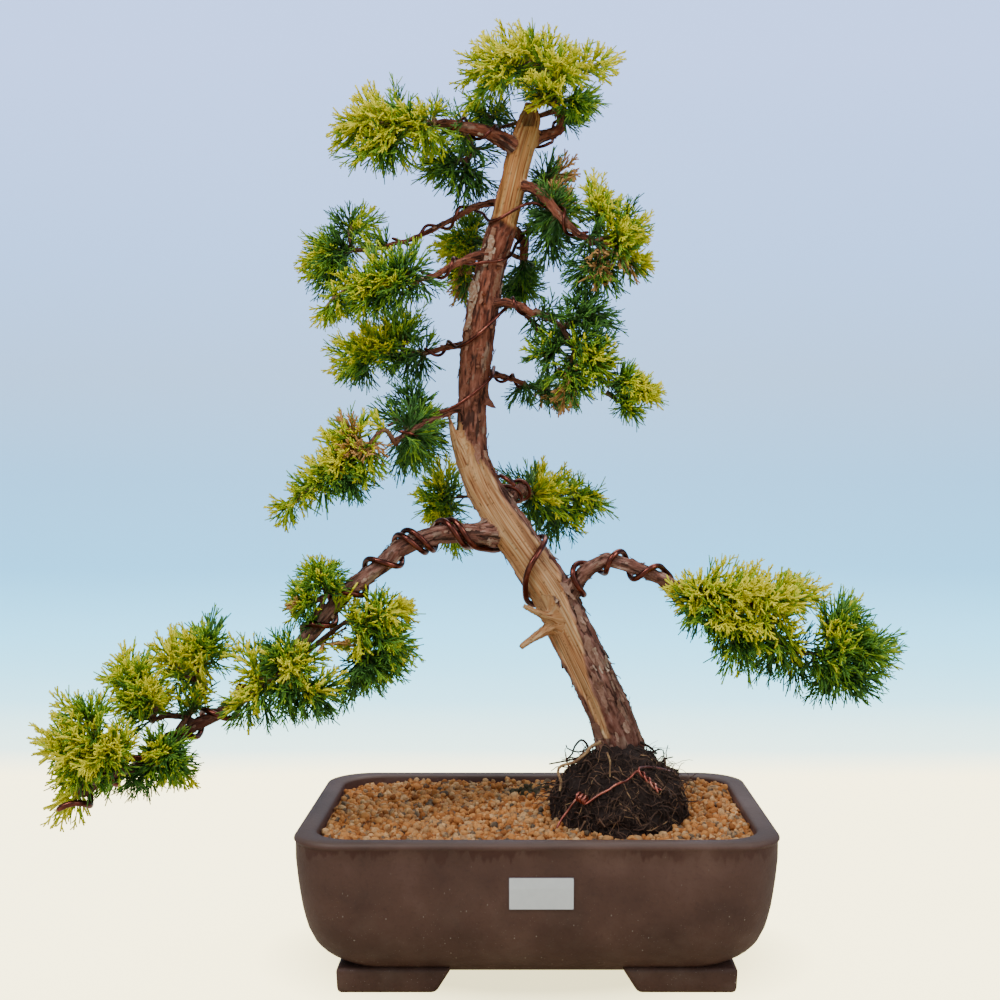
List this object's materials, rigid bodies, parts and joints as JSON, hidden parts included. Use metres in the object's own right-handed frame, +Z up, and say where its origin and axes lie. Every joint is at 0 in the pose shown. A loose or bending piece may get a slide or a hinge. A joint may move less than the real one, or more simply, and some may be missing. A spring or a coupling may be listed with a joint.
{
  "type": "juniper bonsai in a pot",
  "caption": "Juniper bonsai with golden-green sprays, a leaning trunk with a strip of bare wood, and wired limbs, planted in clay grains in a footed rectangular pot.",
  "frame": {"origin": "on the ground under the middle of the whole outline", "axes": "+Z up the tree, -Y out of the front of the pot, +X to the right seen from the front"},
  "size_m": [0.5628, 0.2409, 0.6408],
  "materials": {
    "pot": "matte unglazed, dark brown",
    "screen": "black mesh",
    "label": "blank white sticker",
    "soil": "baked clay grains, ochre",
    "root_ball": "damp black roots and soil",
    "bark": "red-brown bark with bare wood",
    "training_wire": "copper-coloured, satin",
    "tie_wire": "copper-coloured, satin",
    "foliage_gold": "soft golden scale leaves",
    "foliage_green": "green needle and scale leaves"
  },
  "bodies": {
    "root": {"pot": "pot", "drain_screen_left": "screen", "drain_screen_right": "screen", "label": "label", "soil": "soil", "root_ball": "root_ball", "trunk": "bark", "wire_low": "training_wire", "wire_low_second": "training_wire", "wire_back": "training_wire", "wire_jin": "training_wire", "wire_left_low": "training_wire", "wire_left_mid": "training_wire", "wire_left_high": "training_wire", "wire_crown": "training_wire", "tie_wire_front": "tie_wire", "tie_wire_back": "tie_wire", "spray_apex": "foliage_gold", "spray_apex_low": "foliage_green", "spray_apex_droop": "foliage_green", "spray_crown_gold": "foliage_gold", "spray_crown_green": "foliage_green", "spray_left_high": "foliage_green", "spray_left_mid": "foliage_green", "spray_left_low": "foliage_green", "spray_jin_green": "foliage_green", "spray_jin_gold": "foliage_gold", "spray_behind_left": "foliage_green", "spray_behind_right": "foliage_green", "spray_low_sprig": "foliage_green", "spray_low_inner": "foliage_green", "spray_low_middle": "foliage_gold", "spray_low_upper": "foliage_green", "spray_low_outer": "foliage_green", "spray_low_tip": "foliage_gold", "spray_low_under": "foliage_green", "spray_right_gold": "foliage_gold", "spray_right_green": "foliage_green", "spray_right_high": "foliage_green", "spray_right_inner": "foliage_green", "spray_right_mid": "foliage_green", "spray_right_tips": "foliage_green", "spray_right_low": "foliage_green", "spray_rear_left": "foliage_green", "spray_rear_right": "foliage_green"}
  },
  "joints": []
}
